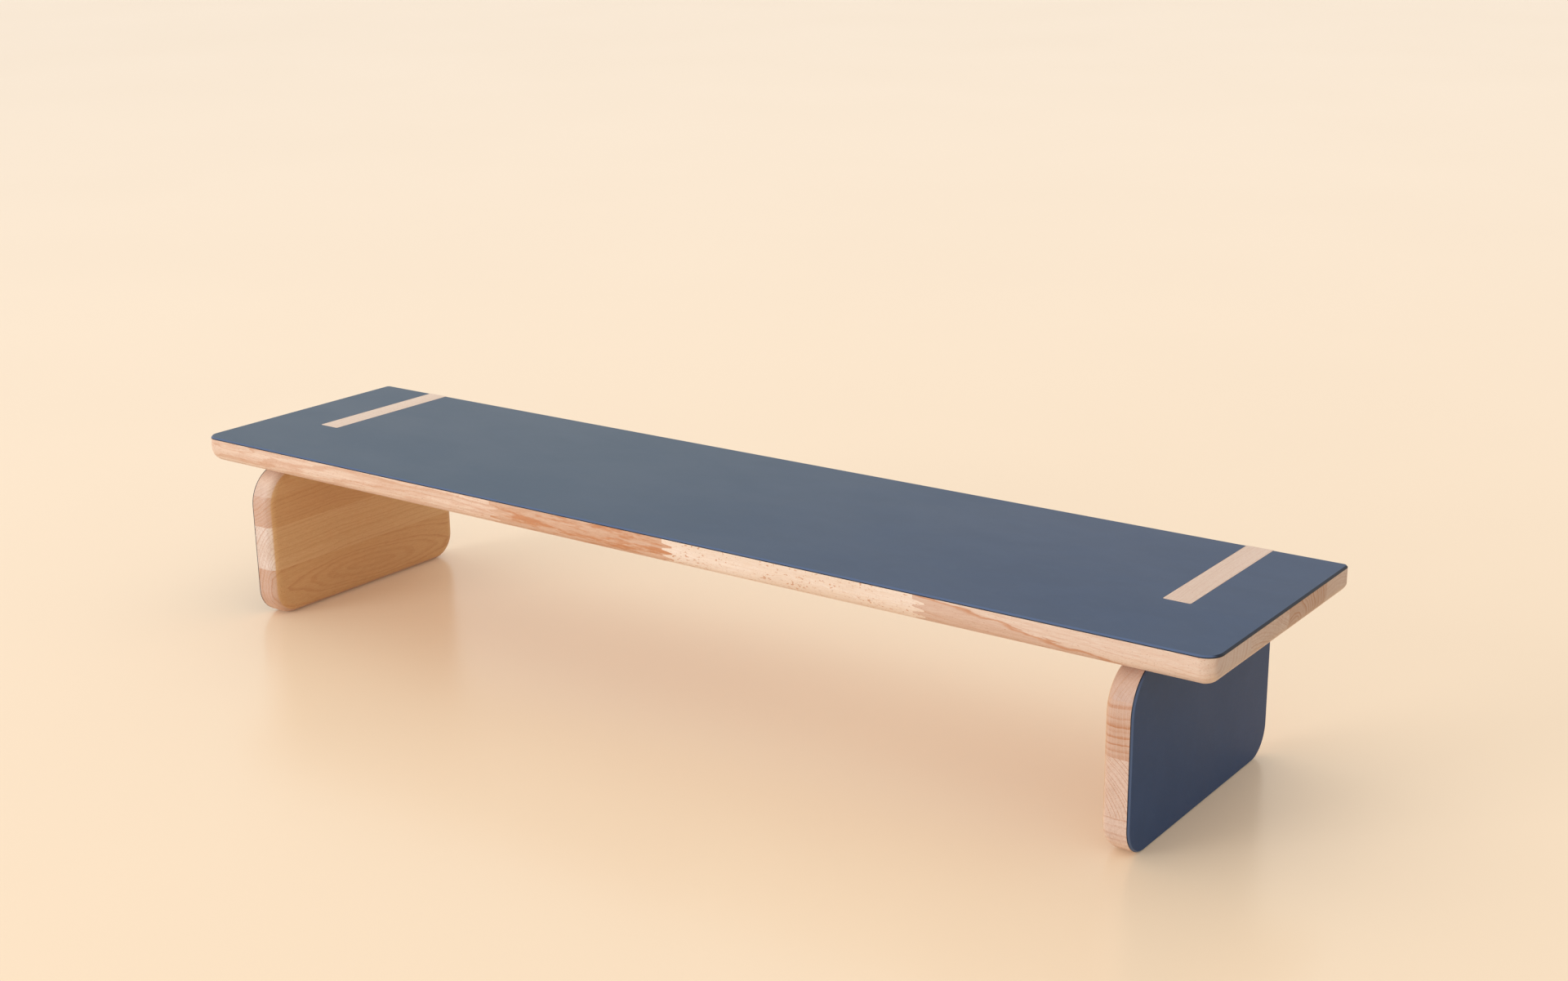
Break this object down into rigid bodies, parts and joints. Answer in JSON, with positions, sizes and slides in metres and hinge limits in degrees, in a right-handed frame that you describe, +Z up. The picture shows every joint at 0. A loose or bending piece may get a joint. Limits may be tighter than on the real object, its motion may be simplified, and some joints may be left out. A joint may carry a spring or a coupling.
{
  "type": "balance beam",
  "caption": "Low floor balance beam: a laminated beech board faced with linoleum, standing on slab legs whose dovetailed tabs slide into it from the rear edge.",
  "frame": {"origin": "on the floor, under the middle of the board", "axes": "+X along the board, +Y across it towards the rear edge that the leg tabs slide in from, +Z up"},
  "size_m": [1.305, 0.3, 0.212],
  "materials": {
    "beech": "oiled satin laminated beech, pale pinkish tan, with glue lines and finger joints",
    "linoleum": "matt smoky blue furniture linoleum, faintly mottled, with a lighter bevelled rim"
  },
  "bodies": {
    "board": {"board_front_stave_length_1": "beech", "board_front_stave_length_2": "beech", "board_front_stave_length_3": "beech", "board_front_stave_length_4": "beech", "board_rear_stave_left_end": "beech", "board_rear_stave_length_1": "beech", "board_rear_stave_length_2": "beech", "board_rear_stave_length_3": "beech", "board_rear_stave_right_end": "beech", "board_second_stave_length_1": "beech", "board_second_stave_length_2": "beech", "board_second_stave_length_3": "beech", "board_second_stave_length_4": "beech", "board_third_stave_left_end": "beech", "board_third_stave_length_1": "beech", "board_third_stave_length_2": "beech", "board_third_stave_length_3": "beech", "board_third_stave_right_end": "beech", "board_top_linoleum": "linoleum"},
    "left_leg": {"left_leg_linoleum": "linoleum", "left_leg_stave_1": "beech", "left_leg_stave_2": "beech", "left_leg_stave_3": "beech", "left_leg_stave_4": "beech"},
    "right_leg": {"right_leg_linoleum": "linoleum", "right_leg_stave_1": "beech", "right_leg_stave_2": "beech", "right_leg_stave_3": "beech", "right_leg_stave_4": "beech"}
  },
  "joints": [
    {"name": "left_leg_slide", "type": "slide", "parent": "board", "child": "left_leg", "axis": [0, 1, 0], "range_m": [0, 0.187]},
    {"name": "right_leg_slide", "type": "slide", "parent": "board", "child": "right_leg", "axis": [0, 1, 0], "range_m": [0, 0.187]}
  ]
}
